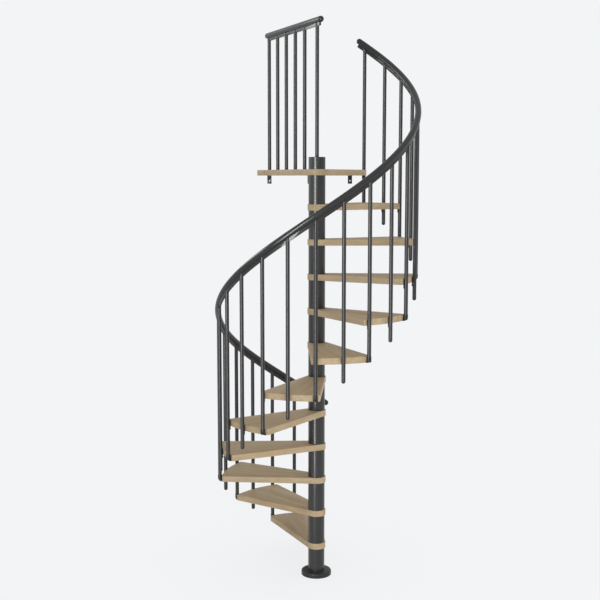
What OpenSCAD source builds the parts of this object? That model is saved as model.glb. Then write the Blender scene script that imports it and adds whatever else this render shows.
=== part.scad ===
// Spiral staircase: a bolted column of spacer tubes that clamps eleven wooden treads and a landing,
// with round balusters on the outer edge, a helical handrail and a straight guard rail on the landing.
// Millimetres, +Z up. The origin is the centre of the base flange's underside.

/* [Climb] */
// Height of one rise, from tread top to tread top
rise = 217; // [180:1:240]
// Angle between neighbouring treads
tread_step = 30; // [27:0.5:33]
// Direction of the centre line of the first tread
first_az = 105; // [0:1:360]

/* [Treads] */
// Radius of the outer edge of the treads
tread_r = 605; // [450:5:800]
// Thickness of the treads and of the landing
tread_t = 38; // [25:1:60]
// How far a tread reaches past the balusters at its outer corners
tread_lap = 26; // [20:0.5:35]
// How far the round end of a tread stands out from the column
hub_rim = 6; // [3:0.5:12]
// How far a tread's straight sides lie inside its round end
hub_lip = 2; // [1:0.5:4]
// Radius of the outer corners of the treads
tread_corner_r = 8; // [3:0.5:12]

/* [Column] */
// Outer diameter of the spacer tubes
column_d = 105; // [80:1:130]
// Wall of the spacer tubes
column_wall = 3.6; // [2:0.1:8]
// Outer diameter of the tube in the middle of the column
core_d = 48; // [30:1:60]
// Wall of the tube in the middle of the column
core_wall = 3.2; // [2:0.1:6]
// Diameter of the base flange
flange_d = 192; // [150:1:260]
// Thickness of the base flange
flange_t = 30; // [22:1:40]
// Radius of the flange's upper edge
flange_round = 9; // [3:0.5:14]
// Height of the column above the landing
column_rise = 75; // [40:1:150]
// Thickness of the plate that closes the column
column_cap_t = 5; // [3:0.5:10]

/* [Landing] */
// Distance from the column axis to the far edge of the landing
landing_depth = 750; // [700:5:1000]
// Distance from the landing's middle line to its far corner beside the last tread
landing_right = 305; // [250:5:400]
// Angle from the last corner baluster to the middle line of the landing
landing_turn = 30; // [25:0.5:35]
// Angle from that line to the landing's open side and its guard rail
landing_open = 25.5; // [15:0.5:30]
// Clearance beside the baluster at the landing's front corner
landing_notch = 4; // [1:0.5:6]

/* [Balusters] */
// Diameter of the balusters
baluster_d = 24; // [14:0.5:28]
// Gap between the edge of the treads and the balusters
edge_gap = 3; // [2:0.5:20]
// Length of a middle baluster below the tread that carries it
baluster_drop = 111; // [60:1:150]
// Distance from the column axis to the next baluster of the guard rail
guard_first = 186; // [120:1:240]
// Distance of the last baluster of the guard rail from the far edge of the landing, along the rail
guard_inset = 60; // [30:1:150]
// Number of balusters of the guard rail, besides the one on the column
guard_count = 5; // [2:1:8]

/* [Handrail] */
// Height of the underside of the handrail above the line of the tread tops
rail_height = 881; // [800:1:950]
// Height of the underside of the guard rail above the landing
guard_height = 867; // [800:1:950]
// Diameter of the round grip
grip_d = 38; // [34:1:50]
// Width of the bar under the grip
bar_w = 12; // [6:0.5:14]
// Height of the bar under the grip
bar_h = 18; // [12:0.5:26]
// Length of the handrail before its first baluster
rail_before = 30; // [20:1:150]
// Length of the handrail past its last baluster
rail_after = 54; // [15:1:100]
// Length of the guard rail past the column axis
guard_near = 42; // [30:1:80]
// Length of the guard rail past its last baluster
guard_far = 18; // [15:1:80]
// Length of the straight rim of an end cap
cap_rim = 8; // [2:0.5:15]

/* [Brackets] */
// Wall of the feet around the corner balusters
foot_wall = 1.5; // [1:0.5:8]
// Width of the clips between the edge of a tread and the balusters
clip_w = 14; // [8:0.5:20]
// Reach of the clips below their treads
clip_drop = 24; // [10:1:40]
// Width of the flange at the bottom of a corner foot
foot_w = 29; // [24:0.5:40]
// Thickness of that flange
foot_t = 8; // [4:0.5:12]
// Height of the solid floor on which a corner baluster stands in its foot
foot_floor = 22; // [15:1:24]
// Radius of the outer lower edge of a corner foot
foot_round = 24; // [10:1:26]
// Width of the landing's fixing brackets
fixing_w = 29; // [24:1:50]
// Height of the tabs of the fixing brackets
fixing_h = 56; // [45:1:80]
// Length of the fixing brackets' legs under the landing
fixing_leg = 45; // [25:1:80]
// Thickness of the fixing brackets
fixing_t = 4; // [3:0.5:8]
// Diameter of the hole in each fixing bracket
fixing_hole_d = 9; // [6:0.5:12]
// Distance of that hole below the landing
fixing_hole_z = 35; // [20:1:40]
// Distance of the outer fixing brackets from the landing's far corners
fixing_inset = 84; // [40:1:200]

/* [Fit] */
// Clearance between a piece and its seat
seat_gap = 0.2; // [0.1:0.05:0.4]
// Clearance between a bore and what passes through it
bore_gap = 0.3; // [0.2:0.05:0.5]
// Clearance beside the rails' bar in the slot of a baluster
slot_gap = 0.8; // [0.7:0.05:0.95]

/* [Hidden] */
tread_count = 11;
$fn = 96;
dark = [0.26, 0.26, 0.26];
oak = [0.72, 0.63, 0.49];
landing_z = rise * (tread_count + 1);
core_r = core_d / 2;
column_top_z = landing_z + column_rise;
baluster_rad = baluster_d / 2;
// radius of the circle on which the balusters stand
baluster_r = tread_r + edge_gap + baluster_rad;
// distance of the clips' and feet's flat backs from the column axis
edge_x = tread_r + seat_gap;
foot_d = baluster_d + 2 * foot_wall;
// angle of that reach past a corner baluster, and from a tread's middle line to its outer corner
lap_a = asin(tread_lap / tread_r);
half_span = tread_step / 2 + lap_a;
// radius of a tread's round end, and distance of its straight sides from the column axis
hub_r = column_d / 2 + hub_rim;
side_r = hub_r - hub_lip;
// climb of the tread line for one degree of turn, and its slope at the balusters
climb = rise / tread_step;
slope = atan(climb * 180 / PI / baluster_r);
grip_r = grip_d / 2;
// height of the grip's centre in the rail's own section
grip_v = bar_h + grip_r;
rail_rings = 68;
grip_facets = 18;
// angle of the grip's section at which the bar meets it
bar_a = asin(bar_w / 2 / grip_r);
first_corner_az = first_az - tread_step / 2;
// size of cutting blocks that only have to be larger than what they cut, and their reach past it
cut = 3 * baluster_d;
over = 1;

function two_digits(n) = n < 10 ? str("0", n) : str(n);
spacer_names = [for (n = [1 : tread_count + 1]) str("spacer_", two_digits(n))];
tread_names = [for (n = [1 : tread_count]) str("tread_", two_digits(n))];

function tread_az(n) = first_az + (n - 1) * tread_step;
function corner_az(k) = first_corner_az + k * tread_step;
function tread_top(n) = n * rise;
// height of the line of tread tops at a direction
function line_z(az) = rise + (az - first_az) * climb;
function polar(r, az) = [r * cos(az), r * sin(az)];
// foot of the column axis on the straight side, on side s, that runs to the outer corner at az
function side_foot(az, s) = polar(side_r, az + s * acos(side_r / tread_r));
// direction of a tread's side from its centre line
side_dir = half_span - asin(side_r / tread_r);
// place of the centre of the round at a tread's outer corner
corner_center = polar(
    tread_r - tread_corner_r, side_dir + asin((side_r - tread_corner_r) / (tread_r - tread_corner_r)));

// Base and column

module base_flange() {
    color(dark) rotate_extrude() {
        square([flange_d / 2 - flange_round, flange_t]);
        square([flange_d / 2, flange_t - flange_round]);
        translate([flange_d / 2 - flange_round, flange_t - flange_round]) circle(r = flange_round);
    }
}

module tube(d, wall, h) {
    difference() {
        cylinder(d = d, h = h);
        translate([0, 0, -over]) cylinder(d = d - 2 * wall, h = h + 2 * over);
    }
}

module center_tube() {
    color(dark) translate([0, 0, flange_t])
        tube(core_d, core_wall, column_top_z - column_cap_t - seat_gap - flange_t);
}

module spacer(n) {
    bottom = n == 1 ? flange_t : tread_top(n - 1);
    color(dark) translate([0, 0, bottom]) tube(column_d, column_wall, tread_top(n) - tread_t - bottom);
}

module column_top() {
    color(dark) translate([0, 0, landing_z]) {
        tube(column_d, column_wall, column_rise);
        translate([0, 0, column_rise - column_cap_t]) cylinder(d = column_d, h = column_cap_t);
    }
}

module core_bore() {
    translate([0, 0, -over]) cylinder(r = core_r + bore_gap, h = tread_t + 2 * over);
}

// Treads and landing

// what is cut from a sharp outer corner to round it
module corner_cut() {
    difference() {
        polygon([
            corner_center,
            corner_center * (1 + 2 * tread_corner_r / tread_r),
            polar(tread_r, half_span) + polar(2 * tread_corner_r, side_dir + 45),
            corner_center + polar(2 * tread_corner_r, side_dir + 90)]);
        translate(corner_center) circle(r = tread_corner_r);
    }
}

module tread_plan() {
    reach = 1.2;
    difference() {
        union() {
            circle(r = hub_r);
            intersection() {
                circle(r = tread_r);
                polygon([for (s = [1, -1], p = [0, 1])
                    let (foot = side_foot(s * half_span, s), tip = polar(tread_r, s * half_span))
                    (s > 0) == (p == 0) ? foot + reach * (tip - foot) : foot]);
            }
        }
        corner_cut();
        mirror([0, 1]) corner_cut();
    }
}

module tread(n) {
    color(oak) translate([0, 0, tread_top(n) - tread_t]) rotate(tread_az(n)) difference() {
        linear_extrude(tread_t) tread_plan();
        core_bore();
    }
}

// The landing's own plan has X along its middle line.
landing_az = corner_az(tread_count) + landing_turn;
// directions of its front corner and of the point where its edge leaves the treads' circle
landing_front = -landing_turn - lap_a;
landing_leave = -landing_turn + atan((baluster_rad + landing_notch) / tread_r);
open_foot = polar(side_r, landing_open + 90);
landing_left = open_foot[1] + tan(landing_open) * (landing_depth - open_foot[0]);

module landing() {
    color(oak) translate([0, 0, landing_z - tread_t]) rotate(landing_az) difference() {
        linear_extrude(tread_t) union() {
            circle(r = hub_r);
            polygon([
                side_foot(landing_front, -1),
                polar(tread_r, landing_front),
                polar(tread_r, landing_leave),
                [landing_depth, -landing_right],
                [landing_depth, landing_left],
                open_foot]);
        }
        core_bore();
    }
}

// Handrail and guard rail

// section of the rail: u across, v up from the underside of the bar
function rail_section() = concat(
    [[bar_w / 2, 0]],
    [for (i = [0 : grip_facets])
        let (a = -90 + bar_a + i * (360 - 2 * bar_a) / grip_facets)
        [grip_r * cos(a), grip_v + grip_r * sin(a)]],
    [[-bar_w / 2, 0]]);

// point of the helical rail for a direction and a point of its section
function rail_point(az, p) =
    let (back = p[1] * sin(slope))
    [(baluster_r + p[0]) * cos(az) + back * sin(az),
     (baluster_r + p[0]) * sin(az) - back * cos(az),
     line_z(az) + rail_height + p[1] * cos(slope)];

rail_start = corner_az(0) - rail_before / baluster_r * 180 / PI;
rail_end = corner_az(tread_count) + rail_after / baluster_r * 180 / PI;

module handrail() {
    section = rail_section();
    m = len(section);
    points = [for (i = [0 : rail_rings], p = section)
        rail_point(rail_start + i * (rail_end - rail_start) / rail_rings, p)];
    sides = [for (i = [0 : rail_rings - 1], j = [0 : m - 1], half = [0, 1])
        let (a = i * m + j, b = i * m + (j + 1) % m)
        half == 0 ? [a, b, b + m] : [a, b + m, a + m]];
    ends = [[for (j = [m - 1 : -1 : 0]) j], [for (j = [0 : m - 1]) rail_rings * m + j]];
    color(dark) polyhedron(points = points, faces = concat(sides, ends));
}

module rail_plan() {
    translate([-bar_w / 2, 0]) square([bar_w, grip_v]);
    translate([0, grip_v]) circle(r = grip_r);
}

guard_last = landing_depth / cos(landing_open) - guard_inset;
guard_pitch = (guard_last - guard_first) / (guard_count - 1);

// stands its child upright on the guard rail's line, with the section's v along Z
module along_guard(distance) {
    translate([0, 0, landing_z]) rotate(landing_az + landing_open) translate([distance, 0, 0]) children();
}

module guard_rail() {
    color(dark) along_guard(-guard_near) translate([0, 0, guard_height])
        rotate([90, 0, 90]) linear_extrude(guard_near + guard_last + guard_far) rail_plan();
}

module end_cap() {
    cylinder(r = grip_r, h = cap_rim);
    translate([0, 0, cap_rim]) intersection() {
        sphere(r = grip_r);
        translate([0, 0, grip_r]) cube(2 * grip_r, center = true);
    }
}

module rail_end_caps() {
    color(dark) {
        for (end = [[rail_start, -1], [rail_end, 1]])
            translate(rail_point(end[0], [0, grip_v])) rotate(end[0])
                rotate([-end[1] * 90 + slope, 0, 0]) translate([0, 0, seat_gap]) end_cap();
        along_guard(-guard_near - seat_gap) translate([0, 0, guard_height + grip_v])
            rotate([0, -90, 0]) end_cap();
        along_guard(guard_last + guard_far + seat_gap) translate([0, 0, guard_height + grip_v])
            rotate([0, 90, 0]) end_cap();
    }
}

// Balusters

// what is cut from the top of a baluster: all above the grip's underside, and the slot for the bar
module rail_seat() {
    slot_w = bar_w + 2 * slot_gap;
    translate([-cut / 2, -cut / 2, bar_h - seat_gap]) cube(cut);
    translate([-slot_w / 2, -cut / 2, -seat_gap]) cube([slot_w, cut, cut]);
}

// upright bar from a height to the sloping underside of the handrail's grip
module stair_baluster(az, bottom, domed) {
    seat = line_z(az) + rail_height;
    rotate(az) translate([baluster_r, 0, 0]) difference() {
        union() {
            translate([0, 0, bottom]) cylinder(d = baluster_d, h = seat + bar_h + baluster_d - bottom);
            if (domed) translate([0, 0, bottom]) sphere(d = baluster_d);
        }
        translate([0, 0, seat]) rotate([slope, 0, 0]) rail_seat();
    }
}

function free_end(n) = tread_top(n) - tread_t - baluster_drop + baluster_rad;

module corner_balusters() {
    color(dark) {
        stair_baluster(corner_az(0), free_end(1), true);
        for (k = [1 : tread_count])
            stair_baluster(corner_az(k), tread_top(k) - tread_t + foot_floor + seat_gap, false);
    }
}

module middle_balusters() {
    color(dark) for (n = [1 : tread_count]) stair_baluster(tread_az(n), free_end(n), true);
}

module guard_baluster(bottom) {
    difference() {
        translate([0, 0, bottom]) cylinder(d = baluster_d, h = guard_height + bar_h - bottom);
        translate([0, 0, guard_height]) rotate(90) rail_seat();
    }
}

module guard_balusters() {
    color(dark) {
        along_guard(0) guard_baluster(column_rise);
        for (i = [0 : guard_count - 1]) along_guard(guard_first + i * guard_pitch) guard_baluster(0);
    }
}

// Brackets

// block from the edge of the treads out to the balusters' circle
module edge_block(w, h) {
    translate([edge_x, -w / 2, 0]) cube([baluster_r - edge_x, w, h]);
}

// bore for a baluster, from a height up through the top of a clip or foot
module baluster_bore(bottom, h) {
    translate([baluster_r, 0, bottom]) cylinder(r = baluster_rad + bore_gap, h = h - bottom + over);
}

// room for the edge of a tread beside a foot
module edge_room(h) {
    translate([edge_x - cut, -cut / 2, -over]) cube([cut, cut, h + 2 * over]);
}

// plate that fills the gap behind a baluster, from the top of a tread to a round end below it
module edge_clip(az, top) {
    h = tread_t + clip_drop;
    rotate(az) translate([0, 0, top - h]) difference() {
        translate([edge_x, 0, 0]) rotate([90, 0, 90]) linear_extrude(baluster_r - edge_x) {
            translate([0, clip_w / 2]) circle(d = clip_w);
            translate([-clip_w / 2, clip_w / 2]) square([clip_w, h - clip_w / 2]);
        }
        baluster_bore(-over, h);
    }
}

module corner_clips() {
    color(dark) for (k = [0 : tread_count]) edge_clip(corner_az(k), tread_top(k + 1));
}

module middle_clips() {
    color(dark) for (n = [1 : tread_count]) edge_clip(tread_az(n), tread_top(n));
}

// what is cut from the outer lower edge of a corner foot to round it
module foot_corner() {
    translate([baluster_r + foot_d / 2 - foot_round, 0, foot_round]) rotate([90, 0, 0])
        linear_extrude(cut, center = true) difference() {
            translate([0, -foot_round - over]) square(foot_round + over);
            circle(r = foot_round);
        }
}

// closed foot at the rear corner of a tread, with a flange at its bottom
module corner_feet() {
    color(dark) for (k = [1 : tread_count])
        rotate(corner_az(k)) translate([0, 0, tread_top(k) - tread_t]) difference() {
            union() {
                translate([baluster_r, 0, 0]) cylinder(d = foot_d, h = tread_t);
                edge_block(clip_w, tread_t);
                edge_block(foot_w, foot_t);
            }
            baluster_bore(foot_floor, tread_t);
            edge_room(tread_t);
            foot_corner();
        }
}

module landing_brackets() {
    places = [-landing_right + fixing_inset, (landing_left - landing_right) / 2, landing_left - fixing_inset];
    color(dark) translate([0, 0, landing_z - tread_t]) rotate(landing_az)
        for (y = places) translate([landing_depth, y, 0]) difference() {
            union() {
                translate([-fixing_leg, -fixing_w / 2, -fixing_t]) cube([fixing_leg, fixing_w, fixing_t]);
                translate([-fixing_t, -fixing_w / 2, -fixing_h]) cube([fixing_t, fixing_w, fixing_h]);
            }
            translate([-fixing_t - over, 0, -fixing_hole_z]) rotate([0, 90, 0])
                cylinder(d = fixing_hole_d, h = fixing_t + 2 * over);
        }
}

base_flange();
center_tube();
for (n = [1 : tread_count + 1]) spacer(n);
column_top();
for (n = [1 : tread_count]) tread(n);
landing();
handrail();
guard_rail();
rail_end_caps();
corner_balusters();
middle_balusters();
guard_balusters();
corner_clips();
corner_feet();
middle_clips();
landing_brackets();
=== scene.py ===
import math
import bmesh
import bpy
from mathutils import Matrix, Vector


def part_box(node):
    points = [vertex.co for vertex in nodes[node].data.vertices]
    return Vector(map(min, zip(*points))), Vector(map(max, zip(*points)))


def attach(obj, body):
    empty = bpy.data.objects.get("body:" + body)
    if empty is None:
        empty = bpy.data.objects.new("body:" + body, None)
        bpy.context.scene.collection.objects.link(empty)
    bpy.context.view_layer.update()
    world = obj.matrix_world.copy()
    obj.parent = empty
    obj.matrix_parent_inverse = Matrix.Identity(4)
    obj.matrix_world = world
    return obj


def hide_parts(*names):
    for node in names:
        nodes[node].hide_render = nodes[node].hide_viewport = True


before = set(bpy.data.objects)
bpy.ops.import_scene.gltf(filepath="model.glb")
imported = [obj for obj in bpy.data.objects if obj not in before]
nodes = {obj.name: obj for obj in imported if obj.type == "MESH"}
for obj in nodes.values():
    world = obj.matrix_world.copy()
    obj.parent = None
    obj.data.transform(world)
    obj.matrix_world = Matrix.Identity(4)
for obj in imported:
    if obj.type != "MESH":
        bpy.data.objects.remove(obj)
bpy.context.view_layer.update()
print("frame loaded with", len(nodes), "CAD nodes")


# sizes that every piece of the stair shares, in metres and degrees
stair = {
    "treadCount": 11,
    "treadStep": 30.0,
    "firstTread": 105.0,       # direction of the first tread's middle line
    "treadRadius": 0.605,
    "edgeGap": 0.003,          # from the treads' edge to the balusters
    "balusterRadius": 0.012,
    "seatGap": 0.0002,
}
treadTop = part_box("tread_01")[1].z
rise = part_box("tread_02")[1].z - treadTop
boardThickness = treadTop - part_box("tread_01")[0].z
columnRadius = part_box("spacer_02")[1].x
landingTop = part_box("landing")[1].z
balusterCircle = stair["treadRadius"] + stair["edgeGap"] + stair["balusterRadius"]
climb = rise / stair["treadStep"]          # metres for one degree of turn
slope = math.atan(climb * 180 / math.pi / balusterCircle)
firstCorner = stair["firstTread"] - stair["treadStep"] / 2


def treadAngle(number):
    return stair["firstTread"] + (number - 1) * stair["treadStep"]


def cornerAngle(number):
    return firstCorner + number * stair["treadStep"]


def lineHeight(angle):      # height of the line of tread tops at a direction
    return treadTop + (angle - stair["firstTread"]) * climb


def polar(radius, angle, height=0.0):
    turn = math.radians(angle)
    return Vector((radius * math.cos(turn), radius * math.sin(turn), height))


def arc(center, radius, start, end, steps):
    return [center + polar(radius, start + (end - start) * i / steps) for i in range(steps + 1)]


def standAt(angle, radius=0.0, height=0.0):      # X of the piece points outwards
    return Matrix.Rotation(math.radians(angle), 4, "Z") @ Matrix.Translation((radius, 0, height))


# mesh tools
meshing = {
    "edgeSteps": 3,            # of a board's rounded edge
    "boreSegments": 48,
    "leastStretch": 0.5,       # limits how far a sharp corner is drawn in
    "sharpAngle": 32.0,        # edges flatter than this are shaded smooth
    "weldDistance": 0.000001,
    "flatAngle": 0.5,          # facets flatter than this are joined before edges are broken
    "brokenAngle": 40.0,       # edges sharper than this are broken
}


def joinRings(shape, low, high):
    count = max(len(low), len(high))
    for i in range(count):
        j = (i + 1) % count
        corners = [low[i % len(low)], low[j % len(low)], high[j % len(high)], high[i % len(high)]]
        corners = list(dict.fromkeys(corners))
        if len(corners) > 2:
            shape.faces.new(corners)


def lathe(shape, profile, segments, place, closed=False):
    rings = []
    for radius, height in profile:
        count = 1 if radius == 0 else segments
        ring = [polar(radius, 360 * i / segments, height) for i in range(count)]
        rings.append([shape.verts.new(place @ point) for point in ring])
    for low, high in zip(rings, rings[1:]):
        joinRings(shape, low, high)
    if closed:
        joinRings(shape, rings[-1], rings[0])


def roundedEdge(width, thickness):      # (inset, height) from the lower face to the upper one
    steps = meshing["edgeSteps"]
    quarter = [math.radians(90 * i / steps) for i in range(steps + 1)]
    lower = [(width * (1 - math.sin(a)), width * (1 - math.cos(a))) for a in quarter]
    upper = [(width * (1 - math.cos(a)), thickness - width * (1 - math.sin(a))) for a in quarter]
    return lower + upper


def outwardNormals(outline):
    normals = []
    for i, point in enumerate(outline):
        before = (point - outline[i - 1]).normalized()
        after = (outline[(i + 1) % len(outline)] - point).normalized()
        across = (before + after).normalized()
        stretch = max(meshing["leastStretch"], across.dot(after))
        normals.append(Vector((across.y, -across.x, 0)) / stretch)
    return normals


def fillBetween(shape, outer, inner):      # flat face between a rim and a bore
    edges = []
    for ring in (outer, inner):
        for i, vert in enumerate(ring):
            following = ring[(i + 1) % len(ring)]
            edges.append(shape.edges.get((vert, following)) or shape.edges.new((vert, following)))
    bmesh.ops.triangle_fill(shape, edges=edges, use_beauty=True)


def board(shape, outline, bore, thickness, edgeRound):      # plate with soft edges and a round bore
    normals = outwardNormals(outline)
    rings = []
    for inset, height in roundedEdge(edgeRound, thickness):
        lift = Vector((0, 0, height))
        rings.append([shape.verts.new(p - n * inset + lift) for p, n in zip(outline, normals)])
    for low, high in zip(rings, rings[1:]):
        joinRings(shape, low, high)
    bores = []
    segments = meshing["boreSegments"]
    for height in (0.0, thickness):
        bores.append([shape.verts.new(polar(bore, 360 * i / segments, height)) for i in range(segments)])
    joinRings(shape, bores[1], bores[0])
    fillBetween(shape, rings[0], bores[0])
    fillBetween(shape, rings[-1], bores[1])


def makePiece(name, shape, material, replaced=(), place=None):
    mesh = bpy.data.meshes.new(name)
    bmesh.ops.recalc_face_normals(shape, faces=shape.faces)
    shape.to_mesh(mesh)
    shape.free()
    mesh.polygons.foreach_set("use_smooth", [True] * len(mesh.polygons))
    mesh.set_sharp_from_angle(angle=math.radians(meshing["sharpAngle"]))
    mesh.materials.append(material)
    piece = bpy.data.objects.new(name, mesh)
    bpy.context.scene.collection.objects.link(piece)
    if place is not None:
        piece.matrix_world = place
    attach(piece, "root")
    if replaced:
        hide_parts(*replaced)


def softenedNode(name, nodeName, material, width):      # the CAD shape with its edges broken
    shape = bmesh.new()
    shape.from_mesh(nodes[nodeName].data)
    flat = math.radians(meshing["flatAngle"])
    broken = math.radians(meshing["brokenAngle"])
    bmesh.ops.remove_doubles(shape, verts=shape.verts, dist=meshing["weldDistance"])
    bmesh.ops.dissolve_limit(shape, angle_limit=flat, verts=shape.verts, edges=shape.edges)
    sharp = [edge for edge in shape.edges if edge.is_manifold and edge.calc_face_angle() > broken]
    bmesh.ops.bevel(shape, geom=sharp, offset=width, segments=2, profile=0.5, affect="EDGES",
                    clamp_overlap=True)
    makePiece(name, shape, material, [nodeName])


# finishes

def addNode(owner, kind, inputs=None, **settings):      # for a material, the world or a lamp
    node = owner.node_tree.nodes.new(kind)
    for key, value in settings.items():
        setattr(node, key, value)
    for key, value in (inputs or {}).items():
        if isinstance(value, bpy.types.NodeSocket):
            owner.node_tree.links.new(value, node.inputs[key])
        else:
            node.inputs[key].default_value = value
    return node


def newFinish(name):
    material = bpy.data.materials.new(name)
    material.use_nodes = True
    return material, material.node_tree.nodes["Principled BSDF"]


def colourRamp(material, factor, stops):
    ramp = addNode(material, "ShaderNodeValToRGB", {"Fac": factor})
    for i, (position, colour) in enumerate(stops):
        element = ramp.color_ramp.elements[i] if i < 2 else ramp.color_ramp.elements.new(position)
        element.position = position
        element.color = (*colour, 1)
    return ramp.outputs["Color"]


def link(owner, source, node, key):
    owner.node_tree.links.new(source, node.inputs[key])


powderCoat = {
    "dark": (0.0265, 0.0265, 0.026),
    "light": (0.0315, 0.0315, 0.031),
    "cloudScale": 5.0,         # slow change of tone, per metre
    "cloudRange": (0.3, 0.7),
    "peelScale": 900.0,        # orange peel of the coating, per metre
    "peelStrength": 0.5,
    "peelDepth": 0.00001,
    "roughness": (0.40, 0.46),
}


def makePowderCoat(name, tone, specular, coat, coatRoughness):
    material, shader = newFinish(name)
    place = addNode(material, "ShaderNodeTexCoord").outputs["Object"]
    cloud = addNode(material, "ShaderNodeTexNoise", {
        "Vector": place, "Scale": powderCoat["cloudScale"], "Detail": 2.0, "Roughness": 0.5})
    peel = addNode(material, "ShaderNodeTexNoise", {
        "Vector": place, "Scale": powderCoat["peelScale"], "Detail": 2.0, "Roughness": 0.5})
    low, high = powderCoat["cloudRange"]
    dark = [tone * c for c in powderCoat["dark"]]
    light = [tone * c for c in powderCoat["light"]]
    shade = colourRamp(material, cloud.outputs["Fac"], [(low, dark), (high, light)])
    link(material, shade, shader, "Base Color")
    rough = addNode(material, "ShaderNodeMapRange", {
        "Value": cloud.outputs["Fac"], "From Min": low, "From Max": high,
        "To Min": powderCoat["roughness"][0], "To Max": powderCoat["roughness"][1]})
    link(material, rough.outputs[0], shader, "Roughness")
    bump = addNode(material, "ShaderNodeBump", {
        "Height": peel.outputs["Fac"], "Strength": powderCoat["peelStrength"],
        "Distance": powderCoat["peelDepth"]})
    link(material, bump.outputs["Normal"], shader, "Normal")
    shader.inputs["Specular IOR Level"].default_value = specular
    shader.inputs["Coat Weight"].default_value = coat
    shader.inputs["Coat Roughness"].default_value = coatRoughness
    return material


oakFinish = {
    "pale": (0.538, 0.414, 0.257),
    "middle": (0.486, 0.367, 0.219),
    "deep": (0.418, 0.306, 0.176),
    "pore": (0.230, 0.160, 0.090),
    "staveWidth": 0.062,
    "staveShift": (7.0, 3.0, 5.0),      # how far the grain of one stave may lie from another's
    "staveTone": (0.94, 1.06),
    "levelSeed": 61.7,         # makes each board's staves differ, by its height
    "warpScale": 3.5,          # slow waves of the grain, per metre
    "warpDepth": 0.030,
    "ringScale": 26.0,         # growth bands across the board, per metre
    "ringStretch": 0.07,       # how slowly they change along the grain
    "ringStops": (0.30, 0.48, 0.66),      # where deep, middle and pale lie
    "ringRange": (0.3, 0.7),
    "poreScale": 620.0,
    "poreStretch": 0.018,
    "poreRange": (0.30, 0.44),
    "poreShare": 0.36,
    "poreStrength": 0.6,
    "poreDepth": 0.00012,
    "saturation": 0.96,
    "specular": 0.16,
    "roughness": (0.46, 0.62),
}


def makeOak(name):      # straight grained boards glued from staves along X
    material, shader = newFinish(name)
    place = addNode(material, "ShaderNodeTexCoord").outputs["Object"]
    level = addNode(material, "ShaderNodeObjectInfo").outputs["Location"]
    axes = addNode(material, "ShaderNodeSeparateXYZ", {"Vector": place})
    lift = addNode(material, "ShaderNodeSeparateXYZ", {"Vector": level})
    stave = addNode(material, "ShaderNodeMath", {
        0: axes.outputs["Y"], 1: oakFinish["staveWidth"]}, operation="DIVIDE")
    stave = addNode(material, "ShaderNodeMath", {0: stave.outputs[0]}, operation="FLOOR")
    seed = addNode(material, "ShaderNodeMath", {
        0: lift.outputs["Z"], 1: oakFinish["levelSeed"], 2: stave.outputs[0]}, operation="MULTIPLY_ADD")
    chance = addNode(material, "ShaderNodeTexWhiteNoise", {"W": seed.outputs[0]}, noise_dimensions="1D")
    shift = addNode(material, "ShaderNodeVectorMath", {
        0: chance.outputs["Color"], 1: oakFinish["staveShift"]}, operation="MULTIPLY")
    local = addNode(material, "ShaderNodeVectorMath", {
        0: place, 1: shift.outputs[0]}, operation="ADD").outputs[0]
    warp = addNode(material, "ShaderNodeTexNoise", {
        "Vector": local, "Scale": oakFinish["warpScale"], "Detail": 2.0, "Roughness": 0.5})
    depth = (0.0, oakFinish["warpDepth"], oakFinish["warpDepth"])
    bent = addNode(material, "ShaderNodeVectorMath", {
        0: warp.outputs["Color"], 1: depth, 2: local}, operation="MULTIPLY_ADD").outputs[0]
    ringPlace = addNode(material, "ShaderNodeMapping", {
        "Vector": bent, "Scale": (oakFinish["ringStretch"], 1.0, 1.0)}).outputs[0]
    rings = addNode(material, "ShaderNodeTexNoise", {
        "Vector": ringPlace, "Scale": oakFinish["ringScale"], "Detail": 7.0, "Roughness": 0.68})
    porePlace = addNode(material, "ShaderNodeMapping", {
        "Vector": bent, "Scale": (oakFinish["poreStretch"], 1.0, 1.0)}).outputs[0]
    pores = addNode(material, "ShaderNodeTexNoise", {
        "Vector": porePlace, "Scale": oakFinish["poreScale"], "Detail": 2.0, "Roughness": 0.6})
    deepAt, middleAt, paleAt = oakFinish["ringStops"]
    base = colourRamp(material, rings.outputs["Fac"], [
        (deepAt, oakFinish["deep"]), (paleAt, oakFinish["pale"]), (middleAt, oakFinish["middle"])])
    tone = addNode(material, "ShaderNodeMapRange", {
        "Value": chance.outputs["Value"],
        "To Min": oakFinish["staveTone"][0], "To Max": oakFinish["staveTone"][1]}).outputs[0]
    toned = addNode(material, "ShaderNodeHueSaturation", {
        "Color": base, "Saturation": oakFinish["saturation"], "Value": tone})
    poreMask = addNode(material, "ShaderNodeMapRange", {
        "Value": pores.outputs["Fac"],
        "From Min": oakFinish["poreRange"][0], "From Max": oakFinish["poreRange"][1],
        "To Min": oakFinish["poreShare"], "To Max": 0.0})
    grain = addNode(material, "ShaderNodeMix", {      # 6 and 7 are its two colours, 2 is the mixed one
        "Factor": poreMask.outputs[0], 6: toned.outputs["Color"], 7: (*oakFinish["pore"], 1)},
        data_type="RGBA")
    link(material, grain.outputs[2], shader, "Base Color")
    rough = addNode(material, "ShaderNodeMapRange", {
        "Value": rings.outputs["Fac"],
        "From Min": oakFinish["ringRange"][0], "From Max": oakFinish["ringRange"][1],
        "To Min": oakFinish["roughness"][1], "To Max": oakFinish["roughness"][0]})
    link(material, rough.outputs[0], shader, "Roughness")
    bump = addNode(material, "ShaderNodeBump", {
        "Height": pores.outputs["Fac"], "Strength": oakFinish["poreStrength"],
        "Distance": oakFinish["poreDepth"]})
    link(material, bump.outputs["Normal"], shader, "Normal")
    shader.inputs["Specular IOR Level"].default_value = oakFinish["specular"]
    return material


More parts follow.
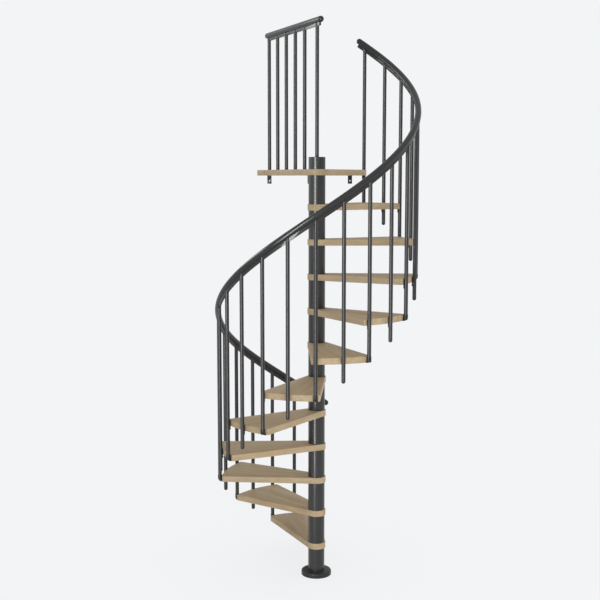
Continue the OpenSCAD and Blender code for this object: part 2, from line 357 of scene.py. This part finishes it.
steelCoats = {
    "column": {"tone": 0.90, "specular": 0.24, "coat": 0.385, "coatRoughness": 0.14},
    "rail": {"tone": 0.92, "specular": 0.10, "coat": 0.38, "coatRoughness": 0.05},
    "baluster": {"tone": 0.87, "specular": 0.11, "coat": 0.53, "coatRoughness": 0.34},
    "bracket": {"tone": 0.72, "specular": 0.16, "coat": 0.12, "coatRoughness": 0.10},
    "flange": {"tone": 1.15, "specular": 0.14, "coat": 0.05, "coatRoughness": 0.20},
    "screw": {"tone": 0.60, "specular": 0.30, "coat": 0.20, "coatRoughness": 0.12},
}
columnSteel = makePowderCoat("column powder coat", **steelCoats["column"])
railSteel = makePowderCoat("rail powder coat", **steelCoats["rail"])
balusterSteel = makePowderCoat("baluster powder coat", **steelCoats["baluster"])
bracketSteel = makePowderCoat("bracket powder coat", **steelCoats["bracket"])
flangeSteel = makePowderCoat("flange powder coat", **steelCoats["flange"])
screwSteel = makePowderCoat("screw coating", **steelCoats["screw"])
oakWood = makeOak("lacquered oak")
print("finishes made")


# column: flange, spacer tubes between the treads, closed end above the landing
column = {
    "flangeRound": 0.009,
    "flangeSteps": 10,
    "flangeFoot": 0.0012,      # small chamfer where the flange meets the floor
    "tubeWall": 0.0036,
    "tubeEdge": 0.0008,
    "crownEdge": 0.0025,
    "crownSteps": 6,
    "segments": 96,
}


def roundTurn(radius, height, width, start, end, steps):      # points of a rounded edge in a profile
    points = []
    for i in range(steps + 1):
        turn = math.radians(start + (end - start) * i / steps)
        points.append((radius + width * math.cos(turn), height + width * math.sin(turn)))
    return points


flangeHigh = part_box("base_flange")[1]
flangeRadius = max(flangeHigh.x, flangeHigh.y)
flangeTop = flangeHigh.z
shape = bmesh.new()
rim = roundTurn(flangeRadius - column["flangeRound"], flangeTop - column["flangeRound"],
                column["flangeRound"], 0, 90, column["flangeSteps"])
foot = column["flangeFoot"]
lathe(shape, [(0, 0), (flangeRadius - foot, 0), (flangeRadius, foot)] + rim + [(0, flangeTop)],
      column["segments"], Matrix())
makePiece("baseFlange", shape, flangeSteel, ["base_flange"])

spacerNames = ["spacer_%02d" % (n + 1) for n in range(stair["treadCount"] + 1)]
edge = column["tubeEdge"]
inner = columnRadius - column["tubeWall"]
shape = bmesh.new()
for name in spacerNames:
    low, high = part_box(name)[0].z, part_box(name)[1].z
    lathe(shape, [(inner, low), (columnRadius - edge, low), (columnRadius, low + edge),
                  (columnRadius, high - edge), (columnRadius - edge, high), (inner, high)],
          column["segments"], Matrix(), closed=True)
makePiece("columnSpacers", shape, columnSteel, spacerNames)

shape = bmesh.new()
low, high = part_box("column_top")[0].z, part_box("column_top")[1].z
crownEdge = column["crownEdge"]
crown = roundTurn(columnRadius - crownEdge, high - crownEdge, crownEdge, 0, 90, column["crownSteps"])
lathe(shape, [(0, low), (columnRadius - edge, low), (columnRadius, low + edge)] + crown + [(0, high)],
      column["segments"], Matrix())
makePiece("columnEnd", shape, columnSteel, ["column_top"])
nodes["center_tube"].data.materials.clear()
nodes["center_tube"].data.materials.append(columnSteel)
print("column built")


# treads and landing: boards with soft edges, X along the grain
boards = {
    "edgeRound": 0.0022,
    "cornerRadius": 0.008,
    "lap": 0.026,              # reach past the corner balusters
    "hubRim": 0.006,           # round end stands out from the column
    "hubLip": 0.002,           # straight sides lie inside the round end
    "boreRadius": 0.0243,
    "landingDepth": 0.750,
    "landingRight": 0.305,
    "landingTurn": 30.0,       # from the last corner baluster to the landing's middle line
    "landingOpen": 25.5,       # from that line to the open side
    "landingNotch": 0.004,     # beside the baluster at the front corner
    "edgeSteps": 28,           # of a tread's outer edge, its corners and the round ends
    "cornerSteps": 6,
    "hubSteps": 40,
    "landingHubSteps": 48,
}
outerRadius = stair["treadRadius"]
hubRadius = columnRadius + boards["hubRim"]
sideRadius = hubRadius - boards["hubLip"]
lapAngle = math.degrees(math.asin(boards["lap"] / outerRadius))
sideLean = math.degrees(math.asin(sideRadius / outerRadius))
hubMeet = 90 - math.degrees(math.acos(sideRadius / hubRadius))      # from a side to its end on the hub


def treadOutline():
    halfSpan = stair["treadStep"] / 2 + lapAngle
    sideAngle = halfSpan - sideLean
    corner = boards["cornerRadius"]
    reach = outerRadius - corner
    cornerAt = sideAngle + math.degrees(math.asin((sideRadius - corner) / reach))
    steps = boards["cornerSteps"]
    points = arc(Vector(), outerRadius, -cornerAt, cornerAt, boards["edgeSteps"])
    points += arc(polar(reach, cornerAt), corner, cornerAt, sideAngle + 90, steps)[1:]
    points += arc(Vector(), hubRadius, sideAngle + hubMeet, 360 - sideAngle - hubMeet, boards["hubSteps"])
    points += arc(polar(reach, -cornerAt), corner, -sideAngle - 90, -cornerAt, steps)[:-1]
    return points


for number in range(1, stair["treadCount"] + 1):
    shape = bmesh.new()
    board(shape, treadOutline(), boards["boreRadius"], boardThickness, boards["edgeRound"])
    node = "tread_%02d" % number
    place = standAt(treadAngle(number), 0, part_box(node)[0].z)
    makePiece("treadBoard%02d" % number, shape, oakWood, [node], place)

lastCorner = cornerAngle(stair["treadCount"])
landingAngle = lastCorner + boards["landingTurn"]
frontAngle = -boards["landingTurn"] - lapAngle
leaveAngle = -boards["landingTurn"] + math.degrees(
    math.atan((stair["balusterRadius"] + boards["landingNotch"]) / outerRadius))
openFoot = polar(sideRadius, boards["landingOpen"] + 90)
openSlope = math.tan(math.radians(boards["landingOpen"]))
landingLeft = openFoot.y + openSlope * (boards["landingDepth"] - openFoot.x)
outline = [polar(outerRadius, frontAngle), polar(outerRadius, leaveAngle),
           Vector((boards["landingDepth"], -boards["landingRight"], 0)),
           Vector((boards["landingDepth"], landingLeft, 0))]
outline += arc(Vector(), hubRadius, boards["landingOpen"] + hubMeet,
               360 + frontAngle + sideLean - hubMeet, boards["landingHubSteps"])
shape = bmesh.new()
board(shape, outline, boards["boreRadius"], boardThickness, boards["edgeRound"])
makePiece("landingBoard", shape, oakWood, ["landing"],
          standAt(landingAngle, 0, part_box("landing")[0].z))
print("treads and landing built")


# handrail and guard rail: round grip on a narrow bar
rail = {
    "gripRadius": 0.019,
    "barWidth": 0.012,
    "barHeight": 0.018,        # from its underside to the lowest line of the grip
    "barEdge": 0.0012,
    "height": 0.881,           # underside above the line of tread tops
    "guardHeight": 0.867,      # underside above the landing
    "before": 0.030,           # past the first baluster
    "after": 0.054,            # past the last one
    "guardNear": 0.042,
    "guardFar": 0.018,
    "guardInset": 0.060,
    "rings": 420,
    "gripSegments": 40,
    "edgeSteps": 3,
    "capRim": 0.008,
    "capGroove": 0.0008,
    "capSteps": 14,
    "capSegments": 40,
}
gripHeight = rail["barHeight"] + rail["gripRadius"]
barTurn = math.degrees(math.asin(rail["barWidth"] / 2 / rail["gripRadius"]))
railStart = cornerAngle(0) - math.degrees(rail["before"] / balusterCircle)
railEnd = lastCorner + math.degrees(rail["after"] / balusterCircle)
guardAngle = landingAngle + boards["landingOpen"]
guardLast = boards["landingDepth"] / math.cos(math.radians(boards["landingOpen"])) - rail["guardInset"]


def railSection():      # (across, up) from the underside of the bar, anticlockwise
    edge, steps = rail["barEdge"], rail["edgeSteps"]
    inset = rail["barWidth"] / 2 - edge
    points = roundTurn(inset, edge, edge, -90, 0, steps)
    points += roundTurn(0, gripHeight, rail["gripRadius"], barTurn - 90, 270 - barTurn,
                        rail["gripSegments"])
    points += roundTurn(-inset, edge, edge, 180, 270, steps)
    return points


def railPoint(angle, across, up):
    back = up * math.sin(slope)
    turn = math.radians(angle)
    height = lineHeight(angle) + rail["height"] + up * math.cos(slope)
    point = polar(balusterCircle + across, angle, height)
    return point + Vector((back * math.sin(turn), -back * math.cos(turn), 0))


def guardPlace(distance, height=0.0):
    return standAt(guardAngle, distance, landingTop + height)


def sweepRail(shape, rows):      # rows of section points, closed by flat ends
    rings = [[shape.verts.new(point) for point in row] for row in rows]
    for low, high in zip(rings, rings[1:]):
        joinRings(shape, low, high)
    shape.faces.new(list(reversed(rings[0])))
    shape.faces.new(rings[-1])


section = railSection()
shape = bmesh.new()
angles = [railStart + (railEnd - railStart) * i / rail["rings"] for i in range(rail["rings"] + 1)]
sweepRail(shape, [[railPoint(angle, u, v) for u, v in section] for angle in angles])
makePiece("handrailBar", shape, railSteel, ["handrail"])

shape = bmesh.new()
rows = []
for distance in (-rail["guardNear"], guardLast + rail["guardFar"]):
    place = guardPlace(distance, rail["guardHeight"])
    rows.append([place @ Vector((0, u, v)) for u, v in section])
sweepRail(shape, rows)
makePiece("guardRailBar", shape, railSteel, ["guard_rail"])


def endCap(shape, place):      # domed plug with a straight rim, seated by a narrow groove
    radius, groove, seat = rail["gripRadius"], rail["capGroove"], stair["seatGap"]
    dome = roundTurn(0, seat + rail["capRim"], radius, 0, 90, rail["capSteps"])[:-1]
    lathe(shape, [(0, seat), (radius - groove, seat), (radius - groove, groove), (radius, 2 * groove)]
          + dome + [(0, seat + rail["capRim"] + radius)], rail["capSegments"], place)


shape = bmesh.new()
for angle, along in ((railStart, -1), (railEnd, 1)):
    lean = Matrix.Rotation(-along * math.pi / 2 + slope, 4, "X")
    endCap(shape, Matrix.Translation(railPoint(angle, 0, gripHeight))
           @ Matrix.Rotation(math.radians(angle), 4, "Z") @ lean)
for distance, along in ((-rail["guardNear"], -1), (guardLast + rail["guardFar"], 1)):
    endCap(shape, guardPlace(distance, rail["guardHeight"] + gripHeight)
           @ Matrix.Rotation(along * math.pi / 2, 4, "Y"))
makePiece("railEndPlugs", shape, railSteel, ["rail_end_caps"])
print("rails built")


# balusters: round bars whose slotted tops hold the rail's bar and reach up to its grip
baluster = {
    "cheekSteps": 12,          # facets of a cheek beside the slot, and between the cheeks
    "gapSteps": 6,
    "drop": 0.111,             # free length below the tread
    "domeSteps": 8,
    "plugSeam": 0.006,         # seam of the domed plug, above the dome
    "plugGroove": 0.0006,
    "footFloor": 0.022,        # floor of a foot, above the tread's underside
    "slotGap": 0.0008,         # clearance beside the rail's bar
    "guardFirst": 0.186,
    "guardCount": 5,
}


def domedEnd(bottom):      # profile of a plugged lower end
    radius, groove = stair["balusterRadius"], baluster["plugGroove"]
    seam = bottom + baluster["plugSeam"]
    dome = roundTurn(0, bottom, radius, -90, 0, baluster["domeSteps"])[1:]
    return [(0, bottom - radius)] + dome + [
        (radius, seam), (radius - groove, seam + groove), (radius, seam + 2 * groove)]


def squareEnd(bottom):
    return [(0, bottom), (stair["balusterRadius"], bottom)]


def slottedBar(shape, profile, seat, lean, place):      # slot along Y, seat where the axis meets the bar
    radius, gap = stair["balusterRadius"], stair["seatGap"]
    cheek = math.degrees(math.acos((rail["barWidth"] / 2 + baluster["slotGap"]) / radius))
    steps, between = baluster["cheekSteps"], baluster["gapSteps"]
    half = steps + between
    turns = []
    for middle in (0, 180):
        turns += [middle - cheek + 2 * cheek * i / steps for i in range(steps)]
        turns += [middle + cheek + (180 - 2 * cheek) * i / between for i in range(between)]

    def ring(reach, height, tilt=0.0):
        points = [polar(reach, turn) for turn in turns]
        lifted = [p + Vector((0, 0, height + p.y * math.tan(tilt))) for p in points]
        return [shape.verts.new(place @ p) for p in lifted]

    rings = [ring(reach, height) if reach else [shape.verts.new(place @ Vector((0, 0, height)))]
             for reach, height in profile]
    floorRim = ring(radius, seat - gap / math.cos(lean), lean)
    top = ring(radius, seat + (rail["barHeight"] - gap) / math.cos(lean), lean)
    for low, high in zip(rings, rings[1:] + [floorRim]):
        joinRings(shape, low, high)
    shape.faces.new(floorRim[steps:half + 1] + floorRim[half + steps:] + floorRim[:1])
    for first in (0, half):
        foot, tip = floorRim[first:first + steps + 1], top[first:first + steps + 1]
        for i in range(steps):
            shape.faces.new([foot[i], foot[i + 1], tip[i + 1], tip[i]])
        shape.faces.new([foot[-1], foot[0], tip[0], tip[-1]])
        shape.faces.new(tip)
    bmesh.ops.delete(shape, geom=[vert for vert in top if not vert.link_faces], context="VERTS")


def stairBaluster(shape, angle, profile):
    slottedBar(shape, profile, lineHeight(angle) + rail["height"], slope, standAt(angle, balusterCircle))


def freeEnd(number):
    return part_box("tread_%02d" % number)[0].z - baluster["drop"] + stair["balusterRadius"]


shape = bmesh.new()
stairBaluster(shape, cornerAngle(0), domedEnd(freeEnd(1)))
for number in range(1, stair["treadCount"] + 1):
    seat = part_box("tread_%02d" % number)[0].z + baluster["footFloor"] + stair["seatGap"]
    stairBaluster(shape, cornerAngle(number), squareEnd(seat))
makePiece("cornerBars", shape, balusterSteel, ["corner_balusters"])

shape = bmesh.new()
for number in range(1, stair["treadCount"] + 1):
    stairBaluster(shape, treadAngle(number), domedEnd(freeEnd(number)))
makePiece("middleBars", shape, balusterSteel, ["middle_balusters"])

shape = bmesh.new()
guardPitch = (guardLast - baluster["guardFirst"]) / (baluster["guardCount"] - 1)
places = [(0.0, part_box("column_top")[1].z - landingTop)]
places += [(baluster["guardFirst"] + i * guardPitch, 0.0) for i in range(baluster["guardCount"])]
for distance, bottom in places:
    slottedBar(shape, squareEnd(bottom), rail["guardHeight"], 0.0,
               guardPlace(distance) @ Matrix.Rotation(math.pi / 2, 4, "Z"))
makePiece("guardBars", shape, balusterSteel, ["guard_balusters"])
print("balusters built")


# clips, feet and brackets: the CAD shapes with broken edges
softEdge = {"clip": 0.0009, "foot": 0.0004, "bracket": 0.0006}
softenedNode("cornerClips", "corner_clips", bracketSteel, softEdge["clip"])
softenedNode("middleClips", "middle_clips", bracketSteel, softEdge["clip"])
softenedNode("cornerFeet", "corner_feet", bracketSteel, softEdge["foot"])
softenedNode("landingBrackets", "landing_brackets", bracketSteel, softEdge["bracket"])
print("clips, feet and brackets built")


# screws: one in the lower end of each clip, behind it, and two in each bracket, under the landing
screw = {
    "headRadius": 0.0045,
    "headHeight": 0.0026,
    "headRound": 0.0012,
    "roundSteps": 4,
    "socketWidth": 0.0030,     # across the flats of the hexagon
    "socketDepth": 0.0016,
    "segments": 24,
    "clipDrop": 0.017,         # below the tread
    "bracketInset": 0.084,
    "bracketSpots": (0.016, 0.033),      # from the landing's edge
    "bracketThickness": 0.004,
}


def hexagon(width, angle):      # reach of a hexagonal socket at a direction
    return width / 2 / math.cos(math.radians((angle + 30) % 60 - 30))


def socketScrew(shape, place):      # head on the XY plane of its place
    soft, top = screw["headRound"], screw["headHeight"]
    turns = [360 * i / screw["segments"] for i in range(screw["segments"])]
    socket = [hexagon(screw["socketWidth"], turn) for turn in turns]
    rows = [(None, 0.0), (screw["headRadius"], 0.0)]
    rows += roundTurn(screw["headRadius"] - soft, top - soft, soft, 0, 90, screw["roundSteps"])
    rows += [(socket, top), (socket, top - screw["socketDepth"]), (None, top - screw["socketDepth"])]
    rings = []
    for reach, height in rows:
        if reach is None:
            points = [Vector((0, 0, height))]
        else:
            reaches = reach if reach is socket else [reach] * len(turns)
            points = [polar(far, turn, height) for far, turn in zip(reaches, turns)]
        rings.append([shape.verts.new(place @ point) for point in points])
    for low, high in zip(rings, rings[1:]):
        joinRings(shape, low, high)


def boardBottom(number):
    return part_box("tread_%02d" % number if number <= stair["treadCount"] else "landing")[0].z


shape = bmesh.new()
spots = [(cornerAngle(number - 1), boardBottom(number)) for number in range(1, stair["treadCount"] + 2)]
spots += [(treadAngle(number), boardBottom(number)) for number in range(1, stair["treadCount"] + 1)]
for angle, bottom in spots:
    socketScrew(shape, standAt(angle, stair["treadRadius"] + stair["seatGap"], bottom - screw["clipDrop"])
                @ Matrix.Rotation(-math.pi / 2, 4, "Y"))
makePiece("clipScrews", shape, screwSteel)

shape = bmesh.new()
inset = screw["bracketInset"]
middle = (landingLeft - boards["landingRight"]) / 2
under = landingTop - boardThickness - screw["bracketThickness"]
for across in (inset - boards["landingRight"], middle, landingLeft - inset):
    for spot in screw["bracketSpots"]:
        place = Matrix.Translation((boards["landingDepth"] - spot, across, under))
        socketScrew(shape, standAt(landingAngle) @ place @ Matrix.Rotation(math.pi, 4, "X"))
makePiece("bracketScrews", shape, screwSteel)
print("screws built")


# studio: pale floor, soft light, camera at the photograph's angle
studio = {
    "background": (0.896, 0.905, 0.921),
    "skyLight": 0.72,
    "floorSize": 60.0,
    "floorShade": 0.19,        # share of the floor's tone that takes shadow
    "floorLight": 0.75,        # light on the open floor, which the glow makes up to the backdrop
    "shadowReach": (1.2, 4.2),      # distances from the column between which the shadow fades out
    "fadePower": 2.0,          # curve of a lamp's soft lower end
}
lamps = {      # fade: share of the height that darkens below, mirrored: seen in reflections only
    "streakStrip": {      # thin streak on the round bars
        "angle": 246.6, "distance": 6.0, "height": 1.375, "size": (1.5, 6.45),
        "radiance": 23.0, "fade": 0.20, "mirrored": True},
    "highSoftbox": {      # sheen on the upper rails
        "angle": 164.5, "distance": 6.0, "height": 4.5, "size": (5.4, 1.8),
        "radiance": 6.0, "fade": 0.0, "mirrored": True},
    "frontSoftbox": {      # lights the sides towards the camera
        "angle": 287.0, "distance": 6.0, "height": 1.2, "size": (2.8, 2.8),
        "radiance": 4.7, "fade": 0.0, "mirrored": False},
}
backdropColour = (*studio["background"], 1)

world = bpy.data.worlds.new("studio world")
bpy.context.scene.world = world
world.use_nodes = True
rays = addNode(world, "ShaderNodeLightPath").outputs
seen = addNode(world, "ShaderNodeMath", {
    0: rays["Is Camera Ray"], 1: rays["Is Glossy Ray"]}, operation="MAXIMUM").outputs[0]
seen = addNode(world, "ShaderNodeMath", {
    0: seen, 1: rays["Is Transmission Ray"]}, operation="MAXIMUM").outputs[0]
sky = world.node_tree.nodes["Background"]
sky.inputs["Color"].default_value = (1, 1, 1, 1)
sky.inputs["Strength"].default_value = studio["skyLight"]
backdrop = addNode(world, "ShaderNodeBackground", {"Color": backdropColour})
either = addNode(world, "ShaderNodeMixShader", {0: seen, 1: sky.outputs[0], 2: backdrop.outputs[0]})
link(world, either.outputs[0], world.node_tree.nodes["World Output"], "Surface")

floorFinish = bpy.data.materials.new("pale floor")
floorFinish.use_nodes = True
floorNodes = floorFinish.node_tree.nodes
floorNodes.remove(floorNodes["Principled BSDF"])
spot = addNode(floorFinish, "ShaderNodeTexCoord").outputs["Object"]
away = addNode(floorFinish, "ShaderNodeVectorMath", {0: spot}, operation="LENGTH").outputs["Value"]
share = addNode(floorFinish, "ShaderNodeMapRange", {
    "Value": away, "From Min": studio["shadowReach"][0], "From Max": studio["shadowReach"][1],
    "To Min": studio["floorShade"], "To Max": 0.0}, interpolation_type="SMOOTHSTEP").outputs[0]
strength = addNode(floorFinish, "ShaderNodeMath", {
    0: share, 1: -studio["floorLight"], 2: 1.0}, operation="MULTIPLY_ADD").outputs[0]
glow = addNode(floorFinish, "ShaderNodeEmission", {"Color": backdropColour, "Strength": strength})
tint = addNode(floorFinish, "ShaderNodeVectorMath", {
    0: studio["background"], "Scale": share}, operation="SCALE")
shaded = addNode(floorFinish, "ShaderNodeBsdfDiffuse", {"Color": tint.outputs[0]})
pale = addNode(floorFinish, "ShaderNodeAddShader", {0: shaded.outputs[0], 1: glow.outputs[0]})
matt = addNode(floorFinish, "ShaderNodeBsdfDiffuse", {"Color": backdropColour})
floorRays = addNode(floorFinish, "ShaderNodeLightPath").outputs
blend = addNode(floorFinish, "ShaderNodeMixShader", {
    0: floorRays["Is Camera Ray"], 1: matt.outputs[0], 2: pale.outputs[0]})
link(floorFinish, blend.outputs[0], floorNodes["Material Output"], "Surface")

shape = bmesh.new()
bmesh.ops.create_grid(shape, x_segments=1, y_segments=1, size=studio["floorSize"])
mesh = bpy.data.meshes.new("floor")
shape.to_mesh(mesh)
shape.free()
mesh.materials.append(floorFinish)
floor = bpy.data.objects.new("floor", mesh)
bpy.context.scene.collection.objects.link(floor)
floor.visible_glossy = False


def softLowerEnd(lamp, fade):      # light falls to nothing at the lamp's lower end
    lamp.use_nodes = True
    spread = addNode(lamp, "ShaderNodeNewGeometry").outputs["Parametric"]
    upward = addNode(lamp, "ShaderNodeSeparateXYZ", {"Vector": spread}).outputs["Y"]
    ramp = addNode(lamp, "ShaderNodeMapRange", {"Value": upward, "From Max": fade}).outputs[0]
    curve = addNode(lamp, "ShaderNodeMath", {0: ramp, 1: studio["fadePower"]}, operation="POWER")
    link(lamp, curve.outputs[0], lamp.node_tree.nodes["Emission"], "Strength")


def uprightLamp(name, angle, distance, height, size, radiance, fade, mirrored):      # faces the column
    lamp = bpy.data.lights.new(name, "AREA")
    lamp.shape = "RECTANGLE"
    lamp.size, lamp.size_y = size
    lamp.energy = radiance * math.pi * size[0] * size[1]
    holder = bpy.data.objects.new(name, lamp)
    facing = Matrix.Rotation(math.pi / 2, 4, "Z") @ Matrix.Rotation(math.pi / 2, 4, "X")
    holder.matrix_world = standAt(angle, distance, height) @ facing
    holder.visible_diffuse = not mirrored
    holder.visible_glossy = mirrored
    bpy.context.scene.collection.objects.link(holder)
    if fade:
        softLowerEnd(lamp, fade)


for name, values in lamps.items():
    uprightLamp(name, **values)

view = {
    "place": (0.0615, -6.5673, 2.5503),
    "pitch": 0.1158,           # radians downwards
    "yaw": 0.02541,            # radians to the left
    "lens": 63.0,              # millimetres, as the sensor
    "sensor": 36.0,
}
camera = bpy.data.cameras.new("camera")
camera.lens = view["lens"]
camera.sensor_width = view["sensor"]
cameraHolder = bpy.data.objects.new("camera", camera)
cameraHolder.location = view["place"]
cameraHolder.rotation_euler = (math.pi / 2 - view["pitch"], 0, view["yaw"])
bpy.context.scene.collection.objects.link(cameraHolder)
bpy.context.scene.camera = cameraHolder
bpy.context.scene.view_settings.view_transform = "Standard"
print("studio set")
